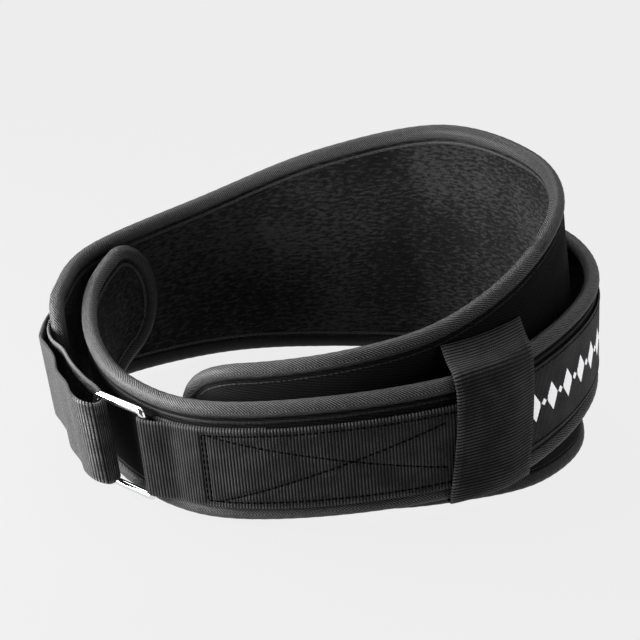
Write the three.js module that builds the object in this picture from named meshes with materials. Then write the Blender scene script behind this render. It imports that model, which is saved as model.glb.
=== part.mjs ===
import * as THREE from "three";

// Weightlifting belt, fastened, standing on its lower edge. Millimetres, +Z up.
// +X runs along the long axis of the loop. The buckle lies towards -X, and the wide back pad towards +X and +Y.
// Angles in the tables are in degrees about the vertical axis: 0 is the front (-Y) and 90 is +X.

// Sizes of the loop
const HALF_LENGTH = 155; // half of the loop's long axis, to the middle of the pad
const REF_HEIGHT = 57; // height at which the plan radii hold
const LEAN = 8.9; // degrees by which the walls lean, because the wide back lifts the belt on one side
const LEAN_FROM = 123; // angle of the wide centre back, which the walls lean away from
const FLOOR = 0; // the binding is pressed flat here

// Sizes of the pads
const BACK_WIDTH = 152; // 6 inch back pad
const FRONT_WIDTH = 69; // front belt with its binding
const PAD = 7; // foam and its two faces
const PAD_EDGE = 0.78; // thickness of the pad at its seam, as a share of PAD
const RIM = 8.5; // rolled binding
const BACK_NEAR_ROUND = 46; // length of the rounded near end of the back pad
const BACK_FAR_ROUND = 34;
const FRONT_TIP_ROUND = 27; // the front belt's free tip
const FRONT_SEWN_ROUND = 30; // the front belt's sewn end
const GAP = 0.3;
const SEAM_GAP = 0.45; // between a pad and its binding
const END_GAP = 0.8; // more of it round the ends

// Sizes of the webbing, ring and keeper
const WEBBING = 46; // buckle webbing
const WEB_DROP = 2; // its middle lies this far below the front belt's
const PULL_WEBBING = 48; // pull webbing
const WEB_T = 1.6;
const WIRE = 4.2; // ring wire
const RING_LENGTH = 38.6; // outside, along the belt
const RING_HEIGHT = 57.4; // outside
const RING_CORNER = 4;
const SKEW = 0.06; // slant of the ring and the buckle webbing along the belt, beside the lean of the walls
const WIRE_CLEAR = 0.55; // between the ring's wire and the webbing that turns round it
const KEEPER_T = 1.6;
const LABEL_T = 0.6;
const LABEL_HEIGHT = 44;
const LABEL_CLEAR = 1.1; // between the label and the keeper's loose edge

// Back pad: radius as a share of HALF_LENGTH, heights of its two edges as shares of BACK_WIDTH
const BACK = [
  { angle: -54, radius: 0.66, bottom: 0.1, top: 0.54 },
  { angle: -30, radius: 0.64, bottom: 0.08, top: 0.575 },
  { angle: 5, radius: 0.635, bottom: 0.05, top: 0.66 },
  { angle: 35, radius: 0.67, bottom: 0.035, top: 0.735 },
  { angle: 62, radius: 0.755, bottom: 0.01, top: 0.87 },
  { angle: 90, radius: 0.84, bottom: -0.006, top: 0.99 },
  { angle: 120, radius: 0.91, bottom: -0.006, top: 1.02 },
  { angle: 150, radius: 0.963, bottom: -0.006, top: 1.005 },
  { angle: 180, radius: 0.92, bottom: -0.005, top: 0.875 },
  { angle: 210, radius: 0.955, bottom: 0.012, top: 0.705 },
  { angle: 240, radius: 1.037, bottom: 0.03, top: 0.61 },
  { angle: 258, radius: 1.02, bottom: 0.035, top: 0.56 },
  { angle: 270, radius: 0.995, bottom: 0.04, top: 0.54 },
];

// Front belt: radius as a share of HALF_LENGTH, height of its lower edge as a share of FRONT_WIDTH,
// lean as a share of LEAN
const FRONT = [
  { angle: -131, radius: 0.925, bottom: 0.42, lean: 1 },
  { angle: -120, radius: 0.94, bottom: 0.33, lean: 1 },
  { angle: -105, radius: 0.92, bottom: 0.18, lean: 1 },
  { angle: -85, radius: 0.862, bottom: 0.05, lean: 1 },
  { angle: -62, radius: 0.81, bottom: -0.012, lean: 1 },
  { angle: -35, radius: 0.77, bottom: 0.03, lean: 1 },
  { angle: 0, radius: 0.716, bottom: 0.16, lean: 1 },
  { angle: 35, radius: 0.794, bottom: 0.3, lean: 1 },
  { angle: 60, radius: 0.84, bottom: 0.41, lean: 0.8 },
  { angle: 85, radius: 0.905, bottom: 0.51, lean: 0.3 },
  { angle: 110, radius: 0.97, bottom: 0.53, lean: 0.6 },
  { angle: 132, radius: 1.005, bottom: 0.54, lean: 1 },
  { angle: 152, radius: 1.03, bottom: 0.55, lean: 1 },
];

// Where the small pieces sit, in degrees on the strip that carries them
const RING_RIGHT = -51.5; // ring's bar in the buckle webbing
const RING_OUT = 10; // offset of that bar from the middle of the front belt
const RING_TOWARDS = { angle: -64.9, radius: 0.918 }; // where the ring points to from that bar
const RING_Z = 0.468 * FRONT_WIDTH; // height of the ring's middle
const BUCKLE_INNER_END = -18;
const BUCKLE_OUTER_END = 39;
const BUCKLE_TUCK = 4; // how far the inner layer runs past the bar before it turns
const BUCKLE_LOOP = 15; // length over which the two layers part round the bar
const BUCKLE_SETTLE = 8; // length over which the outer layer comes to lie on the inner one
const LABEL_FROM = 42;
const LABEL_TO = 100;
const KEEPER = [
  // left and right edge: place on each strip, and how far the upper seam is below the back pad's edge
  // as a share of BACK_WIDTH
  { backAngle: 33, frontAngle: 29.5, seam: 0.072 },
  { backAngle: 57.5, frontAngle: 50.5, seam: 0.154 },
];

const rad = THREE.MathUtils.degToRad;
const away = new THREE.Vector2(
  Math.sin(rad(LEAN_FROM)),
  -Math.cos(rad(LEAN_FROM)),
);

// Plan point at an angle and a radius given as a share of HALF_LENGTH
const polar = (r) =>
  new THREE.Vector3(
    r.radius * HALF_LENGTH * Math.sin(rad(r.angle)),
    -r.radius * HALF_LENGTH * Math.cos(rad(r.angle)),
    0,
  );

// Smooth value through the rows of a table, all with the same parameter
function column(rows, read) {
  return new THREE.CatmullRomCurve3(
    rows.map((r) => new THREE.Vector3(read(r), 0, 0)),
    false,
    "catmullrom",
    0.5,
  );
}

// A wall that follows a table: at(s, z, w) is the point at arc length s, height z and offset w outwards
function makeStrip(rows, bottomOf, topOf, leanOf) {
  const plan = new THREE.CatmullRomCurve3(
    rows.map(polar),
    false,
    "catmullrom",
    0.5,
  );
  plan.arcLengthDivisions = 400;
  const lengths = plan.getLengths(400);
  const length = lengths[400];
  const bottom = column(rows, bottomOf),
    top = column(rows, topOf),
    lean = column(rows, leanOf);
  const param = (s) =>
    plan.getUtoTmapping(THREE.MathUtils.clamp(s / length, 0, 1));
  const sAt = (angle) => {
    let i = 0;
    while (i < rows.length - 2 && rows[i + 1].angle < angle) i++;
    const k =
      (angle - rows[i].angle) / (rows[i + 1].angle - rows[i].angle);
    const f = ((i + k) / (rows.length - 1)) * 400;
    const j = Math.min(399, Math.floor(f));
    return lengths[j] + (lengths[j + 1] - lengths[j]) * (f - j);
  };
  const at = (s, z, w) => {
    const t = param(s);
    const c = plan.getPoint(t),
      d = plan.getTangent(t);
    const shift =
      -Math.tan(rad(LEAN * lean.getPoint(t).x)) * (z - REF_HEIGHT);
    return new THREE.Vector3(
      c.x + d.y * w + away.x * shift,
      c.y - d.x * w + away.y * shift,
      z,
    );
  };
  return {
    length,
    sAt,
    at,
    bottom: (s) => bottom.getPoint(param(s)).x,
    top: (s) => top.getPoint(param(s)).x,
    flat: (s, w) => at(s, REF_HEIGHT, w),
  };
}

const back = makeStrip(
  BACK,
  (r) => r.bottom * BACK_WIDTH,
  (r) => r.top * BACK_WIDTH,
  () => 1,
);
const front = makeStrip(
  FRONT,
  (r) => r.bottom * FRONT_WIDTH,
  (r) => (r.bottom + 1) * FRONT_WIDTH,
  (r) => r.lean,
);

// Outline of a pad set in by an inset: side is 1 on the upper edge and -1 on the lower one
function outline(strip, s, share, side, inset) {
  const lo = strip.bottom(s) + inset,
    hi = strip.top(s) - inset;
  return (lo + hi) / 2 + (side * share * (hi - lo)) / 2;
}

// Columns along a pad with rounded ends
function padColumns(strip, startRound, endRound, inset, middle, ends, first) {
  const cols = [];
  for (let k = 0; k <= ends; k++) {
    const a = rad(first + ((90 - first) * k) / ends);
    cols.push({
      s: inset + (startRound - inset) * (1 - Math.cos(a)),
      share: Math.sin(a),
    });
  }
  const span = strip.length - startRound - endRound;
  for (let k = 1; k < middle; k++)
    cols.push({ s: startRound + (span * k) / middle, share: 1 });
  for (let k = ends; k >= 0; k--) {
    const a = rad(first + ((90 - first) * k) / ends);
    cols.push({
      s: strip.length - inset - (endRound - inset) * (1 - Math.cos(a)),
      share: Math.sin(a),
    });
  }
  return cols;
}

// A box whose vertices are laid on a wall: x runs along it, y up it and z through it
function bent(nx, ny, place) {
  const g = new THREE.BoxGeometry(1, 1, 1, nx, ny, 1);
  const p = g.attributes.position;
  for (let i = 0; i < p.count; i++) {
    const v = place(
      Math.round((p.getX(i) + 0.5) * nx),
      Math.round((p.getY(i) + 0.5) * ny),
      Math.sign(p.getZ(i)),
    );
    p.setXYZ(i, v.x, v.y, Math.max(FLOOR, v.z));
  }
  g.computeVertexNormals();
  return g;
}

// Foam pad with its faces
function padGeometry(strip, startRound, endRound, middle) {
  const cols = padColumns(
    strip,
    startRound,
    endRound,
    RIM + SEAM_GAP + END_GAP,
    middle,
    5,
    14,
  );
  const rows = [-1, -0.9, -0.45, 0.45, 0.9, 1];
  return bent(cols.length - 1, rows.length - 1, (i, j, side) => {
    const { s, share } = cols[i];
    const v = rows[j];
    const z = outline(strip, s, share * Math.abs(v), Math.sign(v), RIM + SEAM_GAP);
    const thick =
      Math.abs(v) === 1 || i === 0 || i === cols.length - 1 ? PAD_EDGE : 1;
    return strip.at(s, z, (side * thick * PAD) / 2);
  });
}

// Rolled binding round the whole edge of a pad, flat where it stands on the floor
function bindingGeometry(strip, startRound, endRound, middle, segments) {
  const cols = padColumns(strip, startRound, endRound, RIM / 2, middle, 5, 0);
  const loop = [];
  for (const c of cols)
    loop.push(
      strip.at(c.s, outline(strip, c.s, c.share, 1, RIM / 2), 0),
    );
  for (const c of cols.slice(1, -1).reverse())
    loop.push(
      strip.at(c.s, outline(strip, c.s, c.share, -1, RIM / 2), 0),
    );
  const path = new THREE.CatmullRomCurve3(loop, true, "centripetal");
  path.arcLengthDivisions = 1200;
  const g = new THREE.TubeGeometry(path, segments, RIM / 2, 8, true);
  const p = g.attributes.position;
  for (let i = 0; i < p.count; i++)
    if (p.getZ(i) < FLOOR) p.setZ(i, FLOOR);
  g.computeVertexNormals();
  return g;
}

const upright = () => new THREE.Vector3();

// Webbing that stands on edge along a plan line; z of each point is the height of its middle.
// slantAt gives its plan shift for each millimetre up, beside the lean
function webbingGeometry(points, width, thickness, parts, slantAt = upright) {
  const line = new THREE.CatmullRomCurve3(points, false, "centripetal");
  const steps = (points.length - 1) * parts;
  return bent(steps, 4, (i, j, side) => {
    const c = line.getPoint(i / steps),
      d = line.getTangent(i / steps);
    const flat = Math.hypot(d.x, d.y);
    const up = (j / 4 - 0.5) * width;
    const z = c.z + up;
    const shift = -Math.tan(rad(LEAN)) * (z - REF_HEIGHT);
    const slant = slantAt(c);
    return new THREE.Vector3(
      c.x + (d.y / flat) * side * (thickness / 2) + away.x * shift + slant.x * up,
      c.y - (d.x / flat) * side * (thickness / 2) + away.y * shift + slant.y * up,
      z,
    );
  });
}

const midOf = (strip, s) => (strip.bottom(s) + strip.top(s)) / 2;
const flatAt = (strip, s, w, z) => {
  const p = strip.flat(s, w);
  p.z = z === undefined ? midOf(strip, s) : z;
  return p;
};

// Ring
const ringRight = flatAt(front, front.sAt(RING_RIGHT), RING_OUT, RING_Z);
const ringTowards = polar(RING_TOWARDS);
const ringDir = new THREE.Vector3(
  ringRight.x - ringTowards.x,
  ringRight.y - ringTowards.y,
  0,
).normalize();
const ringLeft = ringRight
  .clone()
  .addScaledVector(ringDir, -(RING_LENGTH - WIRE));
const ringMid = ringRight.clone().add(ringLeft).multiplyScalar(0.5);
const ringOutward = new THREE.Vector3(ringDir.y, -ringDir.x, 0);

function ringGeometry() {
  const hl = (RING_LENGTH - WIRE) / 2,
    hh = (RING_HEIGHT - WIRE) / 2;
  const pts = [];
  for (const [cx, cz, a0] of [
    [1, 1, 0],
    [-1, 1, 90],
    [-1, -1, 180],
    [1, -1, 270],
  ])
    for (let k = 0; k <= 4; k++) {
      const a = rad(a0 + (90 * k) / 4);
      const x = cx * (hl - RING_CORNER) + RING_CORNER * Math.cos(a),
        z = cz * (hh - RING_CORNER) + RING_CORNER * Math.sin(a);
      const height = RING_Z + z;
      const shift = -Math.tan(rad(LEAN)) * (height - REF_HEIGHT);
      const along = x + SKEW * z;
      pts.push(
        new THREE.Vector3(
          ringMid.x + ringDir.x * along + away.x * shift,
          ringMid.y + ringDir.y * along + away.y * shift,
          height,
        ),
      );
    }
  const path = new THREE.CatmullRomCurve3(pts, true, "centripetal");
  path.arcLengthDivisions = 800;
  return new THREE.TubeGeometry(path, 64, WIRE / 2, 8, true);
}

// Slant of the buckle webbing: along the front belt at the place that lies nearest to a point
function slantOnFront(p) {
  const steps = 60;
  let nearest = 0,
    least = Infinity;
  for (let k = 0; k <= steps; k++) {
    const s = (front.length * k) / steps;
    const c = front.flat(s, 0);
    const far = Math.hypot(c.x - p.x, c.y - p.y);
    if (far < least) {
      least = far;
      nearest = s;
    }
  }
  const step = front.length / steps;
  const before = front.flat(nearest - step, 0),
    after = front.flat(nearest + step, 0);
  return after.sub(before).setZ(0).setLength(SKEW);
}

// Buckle webbing: two layers on the front belt, folded round the ring's bar
const turn = WIRE / 2 + WIRE_CLEAR + WEB_T / 2;
const innerLayer = PAD / 2 + GAP + WEB_T / 2;
const outerLayer = innerLayer + WEB_T + GAP;
function buckleLine() {
  const bar = front.sAt(RING_RIGHT);
  const pts = [];
  const innerEnd = front.sAt(BUCKLE_INNER_END);
  const on = (s, w) =>
    pts.push(flatAt(front, s, w, midOf(front, s) - WEB_DROP));
  const steps = 5;
  for (let k = 0; k <= steps; k++)
    on(innerEnd + ((bar + BUCKLE_TUCK - innerEnd) * k) / steps, innerLayer);
  for (const a of [-90, -120, -150, 180, 150, 120, 90])
    pts.push(
      new THREE.Vector3(
        ringRight.x +
          turn * (Math.cos(rad(a)) * ringDir.x + Math.sin(rad(a)) * ringOutward.x),
        ringRight.y +
          turn * (Math.cos(rad(a)) * ringDir.y + Math.sin(rad(a)) * ringOutward.y),
        RING_Z,
      ),
    );
  on(bar + BUCKLE_LOOP * 0.45, outerLayer + (RING_OUT + turn - outerLayer) * 0.62);
  on(bar + BUCKLE_LOOP, outerLayer);
  const from = bar + BUCKLE_LOOP + BUCKLE_SETTLE,
    to = front.sAt(BUCKLE_OUTER_END);
  for (let k = 0; k <= 9; k++) on(from + ((to - from) * k) / 9, outerLayer);
  return pts;
}

// Pull webbing: from the back pad's outer face round the ring's other bar and back, with slack folds
const backEnd = back.length;
const clearRim = RIM / 2 + GAP + WEB_T / 2;
const PULL_INNER = [
  // distance back from the end of the pad as a share of PULL_WEBBING, offset from its middle,
  // height of the webbing's middle as a share of FRONT_WIDTH
  { behind: 1.24, out: clearRim, height: 0.694 },
  { behind: 0.84, out: clearRim, height: 0.688 },
  { behind: 0.44, out: clearRim, height: 0.682 },
  { behind: 0.12, out: clearRim + GAP, height: 0.672 },
];
const PULL_TO_RING = [
  { angle: -87.4, radius: 1.01, height: 0.664 },
  { angle: -83, radius: 0.972, height: 0.645 },
  { angle: -77.5, radius: 0.952, height: 0.605 },
  { angle: -71, radius: 0.924, height: 0.55 },
  { angle: -66.5, radius: 0.899, height: 0.51 },
];
const PULL_SLIP = 2; // how far the turn's middle lies past the bar, which it is tight on at its upper edge
const PULL_TURN = [
  // degrees round the turn's middle from the ring's own direction, and distance from it
  // as a share of the tightest turn
  { turn: -65, slack: 1.02 },
  { turn: -40, slack: 1.08 },
  { turn: -12, slack: 1.3 },
  { turn: 16, slack: 1.75 },
  { turn: 42, slack: 2.7 },
];
const PULL_BACK = [
  { angle: -60.5, radius: 0.963, height: 0.492 },
  { angle: -62, radius: 0.992, height: 0.512 },
  { angle: -65.4, radius: 1.004, height: 0.536 },
  { angle: -68.9, radius: 0.998, height: 0.558 },
  { angle: -74.6, radius: 1.011, height: 0.594 },
  { angle: -80.2, radius: 1.008, height: 0.623 },
  { angle: -85.2, radius: 1.03, height: 0.645 },
  { angle: -89, radius: 1.056, height: 0.672 },
];
const PULL_OUTER = [
  { behind: 0.18, out: clearRim + 2.5 * WEB_T, height: 0.682 },
  { behind: 0.44, out: clearRim + 1.6 * WEB_T, height: 0.69 },
  { behind: 0.8, out: clearRim + WEB_T + GAP, height: 0.692 },
  { behind: 1.12, out: clearRim + WEB_T + GAP, height: 0.694 },
];
function pullLine() {
  const onPad = (r) =>
    flatAt(back, backEnd - r.behind * PULL_WEBBING, r.out, r.height * FRONT_WIDTH);
  const free = (r) => polar(r).setZ(r.height * FRONT_WIDTH);
  const round = PULL_TURN.map(
    (r) =>
      new THREE.Vector3(
        ringLeft.x +
          ringDir.x * PULL_SLIP +
          turn *
            r.slack *
            (Math.cos(rad(r.turn)) * ringDir.x +
              Math.sin(rad(r.turn)) * ringOutward.x),
        ringLeft.y +
          ringDir.y * PULL_SLIP +
          turn *
            r.slack *
            (Math.cos(rad(r.turn)) * ringDir.y +
              Math.sin(rad(r.turn)) * ringOutward.y),
        RING_Z,
      ),
  );
  return [
    ...PULL_INNER.map(onPad),
    ...PULL_TO_RING.map(free),
    ...round,
    ...PULL_BACK.map(free),
    ...PULL_OUTER.map(onPad),
  ];
}

// Elastic keeper: sewn to the back pad above and below, and stretched over the front belt
const KEEPER_SIDE = PAD / 2 + GAP + KEEPER_T / 2; // on the back pad's face
const KEEPER_OVER = outerLayer + WEB_T / 2 + 2 * GAP + KEEPER_T / 2; // over the webbing
const KEEPER_OVER_LABEL = PAD / 2 + GAP + LABEL_T + LABEL_CLEAR + KEEPER_T / 2; // over the label
const KEEPER_PROFILE = [
  // place from the back pad (0) to the front belt (1), edge it is measured from,
  // distance above that edge and shift along the belt as shares of FRONT_WIDTH
  { out: 0, edge: "seam", up: 0, shift: 0 },
  { out: 0.1, edge: "seam", up: -0.02, shift: 0 },
  { out: 0.45, edge: "seam", up: -0.085, shift: 0 },
  { out: 0.88, edge: "frontTop", up: 0.029, shift: 0 },
  { out: 1, edge: "frontTop", up: -0.087, shift: 0 },
  { out: 1, edge: "frontTop", up: -0.362, shift: -0.022 },
  { out: 1, edge: "frontBottom", up: 0.261, shift: -0.087 },
  { out: 1, edge: "frontBottom", up: 0.087, shift: -0.123 },
  { out: 0.84, edge: "frontBottom", up: -0.022, shift: -0.13 },
  { out: 0.3, edge: "frontBottom", up: -0.051, shift: -0.116 },
  { out: 0, edge: "backBottom", up: 0.217, shift: -0.087 },
];
function keeperGeometry() {
  const nx = 6,
    ny = 22;
  const lines = [];
  for (let i = 0; i <= nx; i++) {
    const k = i / nx;
    const sb = THREE.MathUtils.lerp(
      back.sAt(KEEPER[0].backAngle),
      back.sAt(KEEPER[1].backAngle),
      k,
    );
    const sf = THREE.MathUtils.lerp(
      front.sAt(KEEPER[0].frontAngle),
      front.sAt(KEEPER[1].frontAngle),
      k,
    );
    const over = THREE.MathUtils.lerp(
      KEEPER_OVER,
      KEEPER_OVER_LABEL,
      THREE.MathUtils.smoothstep(k, 0.6, 1),
    );
    const edges = {
      seam:
        back.top(sb) -
        BACK_WIDTH * THREE.MathUtils.lerp(KEEPER[0].seam, KEEPER[1].seam, k),
      backBottom: back.bottom(sb),
      frontTop: front.top(sf),
      frontBottom: front.bottom(sf),
    };
    lines.push(
      new THREE.CatmullRomCurve3(
        KEEPER_PROFILE.map((r) => {
          const z = edges[r.edge] + r.up * FRONT_WIDTH;
          const shift = r.shift * FRONT_WIDTH;
          return back
            .at(sb + shift, z, KEEPER_SIDE)
            .lerp(front.at(sf + shift, z, over), r.out);
        }),
        false,
        "centripetal",
      ),
    );
  }
  const grid = lines.map((l) =>
    Array.from({ length: ny + 1 }, (_, j) => l.getPointAt(1 - j / ny)),
  );
  return bent(nx, ny, (i, j, side) => {
    const c = grid[i][j];
    const along = new THREE.Vector3().subVectors(
      grid[Math.min(nx, i + 1)][j],
      grid[Math.max(0, i - 1)][j],
    );
    const up = new THREE.Vector3().subVectors(
      grid[i][Math.min(ny, j + 1)],
      grid[i][Math.max(0, j - 1)],
    );
    const n = along.cross(up).normalize();
    return c.clone().addScaledVector(n, (side * KEEPER_T) / 2);
  });
}

// Woven label on the front belt
function labelGeometry() {
  const from = front.sAt(LABEL_FROM),
    to = front.sAt(LABEL_TO);
  const n = 16;
  return bent(n, 1, (i, j, side) => {
    const s = from + ((to - from) * i) / n;
    const z = midOf(front, s) + (j - 0.5) * LABEL_HEIGHT;
    return front.at(s, z, PAD / 2 + GAP + LABEL_T / 2 + (side * LABEL_T) / 2);
  });
}

const cloth = (color) =>
  new THREE.MeshStandardMaterial({ color, roughness: 0.92, metalness: 0 });
function piece(name, geometry, material) {
  const mesh = new THREE.Mesh(geometry, material);
  mesh.name = name;
  return mesh;
}

const belt = new THREE.Group();
belt.add(
  piece(
    "back_panel",
    padGeometry(back, BACK_NEAR_ROUND, BACK_FAR_ROUND, 34),
    cloth(0x19191b),
  ),
  piece(
    "back_binding",
    bindingGeometry(back, BACK_NEAR_ROUND, BACK_FAR_ROUND, 34, 150),
    cloth(0x2a2a2d),
  ),
  piece(
    "front_panel",
    padGeometry(front, FRONT_TIP_ROUND, FRONT_SEWN_ROUND, 34),
    cloth(0x151517),
  ),
  piece(
    "front_binding",
    bindingGeometry(front, FRONT_TIP_ROUND, FRONT_SEWN_ROUND, 34, 150),
    cloth(0x2d2d30),
  ),
  piece(
    "buckle_webbing",
    webbingGeometry(buckleLine(), WEBBING, WEB_T, 3, slantOnFront),
    cloth(0x232325),
  ),
  piece(
    "pull_webbing",
    webbingGeometry(pullLine(), PULL_WEBBING, WEB_T, 3),
    cloth(0x3a3a3e),
  ),
  piece(
    "ring",
    ringGeometry(),
    new THREE.MeshStandardMaterial({
      color: 0xd8d8d8,
      roughness: 0.12,
      metalness: 1,
    }),
  ),
  piece("keeper", keeperGeometry(), cloth(0x2c2c2f)),
  piece("label", labelGeometry(), cloth(0x303034)),
);

// The origin is at the middle of the base
const box = new THREE.Box3().setFromObject(belt, true);
belt.children.forEach((m) =>
  m.position.set(-(box.min.x + box.max.x) / 2, -(box.min.y + box.max.y) / 2, 0),
);

export default belt;
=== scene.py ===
import math

import bpy
import numpy as np
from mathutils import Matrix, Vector


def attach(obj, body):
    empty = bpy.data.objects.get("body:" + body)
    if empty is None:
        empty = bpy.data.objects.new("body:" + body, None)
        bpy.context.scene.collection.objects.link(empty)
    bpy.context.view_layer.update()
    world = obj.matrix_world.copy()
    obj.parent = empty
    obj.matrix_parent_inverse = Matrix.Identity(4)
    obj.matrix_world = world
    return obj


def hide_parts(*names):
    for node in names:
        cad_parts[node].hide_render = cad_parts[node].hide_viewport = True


# Weightlifting belt, fastened, standing on its lower edge. Metres, +Z up.
# The tables and sizes are those of the CAD part, but for 2 mm of the ring's length, up to 3 mm of the front
# belt's lower edge behind it and its lean there, and the height of the pull webbing.
# Angles are in degrees about the vertical axis: 0 is -Y, 90 is +X.
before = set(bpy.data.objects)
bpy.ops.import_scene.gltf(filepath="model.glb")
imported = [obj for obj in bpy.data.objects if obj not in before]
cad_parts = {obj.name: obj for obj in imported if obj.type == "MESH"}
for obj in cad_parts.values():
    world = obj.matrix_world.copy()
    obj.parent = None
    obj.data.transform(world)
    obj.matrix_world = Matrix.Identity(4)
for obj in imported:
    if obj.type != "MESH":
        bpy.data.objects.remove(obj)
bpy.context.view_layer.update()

# Sizes of the loop
HALF_LENGTH = 0.155
REF_HEIGHT = 0.057  # height at which the plan radii hold
LEAN = 8.9  # degrees by which the walls lean
LEAN_FROM = 123
ORIGIN = (0.00887, -0.01596)  # plan offset that puts the origin at the middle of the base

# Sizes of the pads
BACK_WIDTH = 0.152
FRONT_WIDTH = 0.069
PAD = 0.007
RIM = 0.0085
BACK_ROUNDS = (0.046, 0.034)
FRONT_ROUNDS = (0.027, 0.030)
GAP = 0.0003
PAD_INSET = 0.0047  # the pad's seam lies inside the binding
PAD_SEAM = 0.0013  # half thickness there
PAD_HALF = 0.0027  # half thickness of the foam before its cover swells
PAD_ROUNDING = 0.0045  # length over which the pad reaches it
PAD_SWELL = 0.0008  # the most that the cover moves in the simulation
SEAM_INSET = 0.0106  # middle of the stitched edge of the binding, from the outer edge
SEAM_HALF = 0.0009  # half its width

PULL_FUZZY = 0.155  # length along the pull webbing at which its outer face turns from ribs to pile

# Sizes of the webbing, ring, keeper and label
WEBBING = 0.046
WEB_DROP = 0.002  # the buckle webbing's middle lies this far below the front belt's
WEB_T = 0.0016
SKEW = 0.06  # slant of the ring and buckle webbing along the belt, beside the lean of the walls
PULL_WEBBING = 0.048
PULL_SLIP = 0.002  # how far the turn's middle lies past the bar, so that it is tight at the upper edge only
WEB_RIB = 0.00172
WIRE = 0.0042
WIRE_CLEAR = 0.0002
RING_LENGTH = 0.0406
RING_HEIGHT = 0.0574
RING_CORNER = 0.004
KEEPER_T = 0.0016
KEEPER_RIB = 0.00182
KEEPER_RIBS = 61
KEEPER_HALF = 0.0225  # half its width near the upper seam
KEEPER_PAINTED_HIGHLIGHT = 0.016  # length from the upper seam over which a highlight is painted into its ribs
RIB_SAMPLES = 5  # rows of points in the mesh for each rib
LABEL_T = 0.0006
LABEL_HEIGHT = 0.044
LABEL_RIB = 0.0011
LABEL_CLEAR = 0.0011

# angle, radius as a share of HALF_LENGTH, heights of both edges as shares of BACK_WIDTH, share of LEAN
BACK = [
    (-54, 0.66, 0.1, 0.54, 1),
    (-30, 0.64, 0.08, 0.575, 1),
    (5, 0.635, 0.05, 0.66, 1),
    (35, 0.67, 0.035, 0.735, 1),
    (62, 0.755, 0.01, 0.87, 1),
    (90, 0.84, -0.006, 0.99, 1),
    (120, 0.91, -0.006, 1.02, 1),
    (150, 0.963, -0.006, 1.005, 1),
    (180, 0.92, -0.005, 0.875, 1),
    (210, 0.955, 0.012, 0.705, 1),
    (240, 1.037, 0.03, 0.61, 1),
    (258, 1.02, 0.035, 0.56, 1),
    (270, 0.995, 0.04, 0.54, 1),
]
# angle, radius as a share of HALF_LENGTH, heights of both edges as shares of FRONT_WIDTH, share of LEAN
FRONT = [
    (-131, 0.925, 0.42, 1.42, 1),
    (-120, 0.94, 0.33, 1.33, 1),
    (-105, 0.92, 0.16, 1.18, 0.95),
    (-85, 0.862, 0.005, 1.05, 0.7),
    (-62, 0.81, -0.025, 0.988, 0.92),
    (-35, 0.77, 0.03, 1.03, 1),
    (0, 0.716, 0.16, 1.16, 1),
    (35, 0.794, 0.3, 1.3, 1),
    (60, 0.84, 0.41, 1.41, 0.8),
    (85, 0.905, 0.51, 1.51, 0.3),
    (110, 0.97, 0.53, 1.53, 0.6),
    (132, 1.005, 0.54, 1.54, 1),
    (152, 1.03, 0.55, 1.55, 1),
]

# Places of the small pieces, in degrees on the strip that carries them
RING_RIGHT = -50.5
RING_OUT = 0.010
RING_TOWARDS = (-64.9, 0.918)
RING_Z = 0.468 * FRONT_WIDTH
BUCKLE_INNER_END = -18
BUCKLE_OUTER_END = 39
BUCKLE_TUCK = 0.004
BUCKLE_LOOP = 0.015
BUCKLE_SETTLE = 0.008
LABEL_FROM = 42
LABEL_TO = 100
# place on the back pad, place on the front belt, upper seam below the pad's edge as a share of BACK_WIDTH
KEEPER_LEFT = (33, 29.5, 0.072)
KEEPER_RIGHT = (57.5, 50.5, 0.154)
# from the back pad (0) to the front belt (1), edge, distance above it and shift as shares of FRONT_WIDTH
KEEPER_PROFILE = [
    (0, "seam", 0, 0),
    (0.1, "seam", -0.02, 0),
    (0.45, "seam", -0.085, 0),
    (0.88, "front_top", 0.029, 0),
    (1, "front_top", -0.087, 0),
    (1, "front_top", -0.362, -0.022),
    (1, "front_bottom", 0.261, -0.087),
    (1, "front_bottom", 0.087, -0.123),
    (0.84, "front_bottom", -0.022, -0.13),
    (0.3, "front_bottom", -0.051, -0.116),
    (0, "back_bottom", 0.217, -0.087),
]
CLEAR_RIM = RIM / 2 + GAP + WEB_T / 2
# distance from the pad's end as a share of PULL_WEBBING, offset, height as a share of FRONT_WIDTH
PULL_INNER = [
    (1.24, CLEAR_RIM, 0.64),
    (0.84, CLEAR_RIM, 0.637),
    (0.44, CLEAR_RIM, 0.634),
    (0.12, CLEAR_RIM + GAP, 0.632),
]
PULL_TO_RING = [
    (-87.4, 1.01, 0.63),
    (-83, 0.972, 0.622),
    (-77.5, 0.952, 0.595),
    (-71, 0.924, 0.55),
    (-66.5, 0.899, 0.51),
]
PULL_TURN = [(-65, 1.02), (-40, 1.08), (-12, 1.3), (16, 1.75), (42, 2.7)]
PULL_BACK = [
    (-60.5, 0.963, 0.492),
    (-62, 0.992, 0.512),
    (-65.4, 1.004, 0.536),
    (-68.9, 0.998, 0.558),
    (-74.6, 1.011, 0.586),
    (-80.2, 1.008, 0.605),
    (-85.2, 1.03, 0.618),
    (-89, 1.056, 0.63),
]
PULL_OUTER = [
    (0.18, CLEAR_RIM + 2.5 * WEB_T, 0.635),
    (0.44, CLEAR_RIM + 1.6 * WEB_T, 0.638),
    (0.8, CLEAR_RIM + WEB_T + GAP, 0.64),
    (1.12, CLEAR_RIM + WEB_T + GAP, 0.642),
]

# Camera, fitted to the photograph's frame of 640 by 640
LENS = 117.1
CAMERA_AT = (-0.0006, -1.0899, 0.5086)
CAMERA_AIM = (-0.0006, -0.0158, 0.0761)

AWAY = np.array([math.sin(math.radians(LEAN_FROM)), -math.cos(math.radians(LEAN_FROM))])


def polar(angle, radius):
    a = np.radians(angle)
    return np.stack([radius * HALF_LENGTH * np.sin(a), -radius * HALF_LENGTH * np.cos(a)], -1)


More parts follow.
